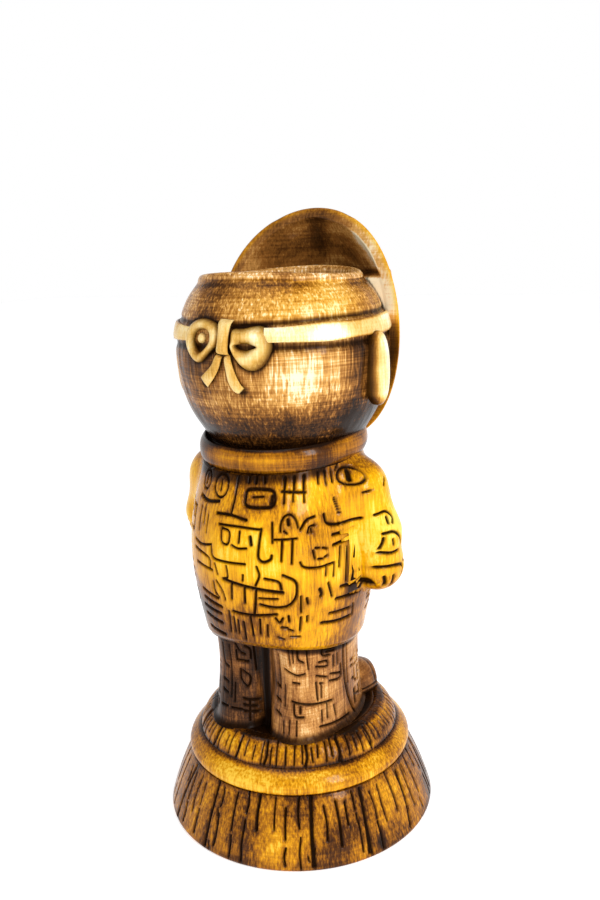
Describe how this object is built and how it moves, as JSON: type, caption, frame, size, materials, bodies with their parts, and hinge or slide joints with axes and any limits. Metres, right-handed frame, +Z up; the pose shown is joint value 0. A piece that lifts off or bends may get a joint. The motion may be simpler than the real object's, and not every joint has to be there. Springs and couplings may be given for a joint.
{
  "type": "tiki mug",
  "caption": "Tall hollow glazed ceramic mug shaped as a standing figure with a tied-on mask, open at the top of the head for drinking, on a flared round pedestal.",
  "frame": {"origin": "centre of the foot ring, on the surface the mug stands on", "axes": "+Z up through the head, -Y the way the figure and its mask face, +X towards the figure's left hand"},
  "size_m": [0.1038, 0.1038, 0.2278],
  "materials": {
    "bisque_foot": "matte",
    "pedestal_glaze": "gloss",
    "pooled_glaze": "gloss",
    "trouser_glaze": "gloss",
    "shoe_glaze": "gloss",
    "shirt_glaze": "gloss",
    "skin_glaze": "gloss",
    "collar_glaze": "gloss",
    "head_glaze": "gloss",
    "ribbon_glaze": "gloss",
    "mask_glaze": "gloss"
  },
  "bodies": {
    "root": {"base_floor": "bisque_foot", "pedestal_skirt": "pedestal_glaze", "pedestal_ring": "pedestal_glaze", "pedestal_band": "pedestal_glaze", "pedestal_deck": "pooled_glaze", "left_trouser_leg": "trouser_glaze", "right_trouser_leg": "trouser_glaze", "left_shoe": "shoe_glaze", "right_shoe": "shoe_glaze", "shirt_body": "shirt_glaze", "left_sleeve": "shirt_glaze", "right_sleeve": "shirt_glaze", "left_hand": "skin_glaze", "right_hand": "skin_glaze", "collar": "collar_glaze", "head_bowl": "head_glaze", "left_ear": "ribbon_glaze", "right_ear": "ribbon_glaze", "headband_left": "ribbon_glaze", "headband_right": "ribbon_glaze", "bow_knot": "ribbon_glaze", "bow_left_loop": "ribbon_glaze", "bow_right_loop": "ribbon_glaze", "bow_left_tail": "ribbon_glaze", "bow_right_tail": "ribbon_glaze", "mask_shell": "mask_glaze", "mask_brow": "mask_glaze", "mask_nose": "mask_glaze", "mask_left_eye": "mask_glaze", "mask_right_eye": "mask_glaze", "mask_mouth": "mask_glaze", "mask_teeth": "ribbon_glaze"}
  },
  "joints": []
}
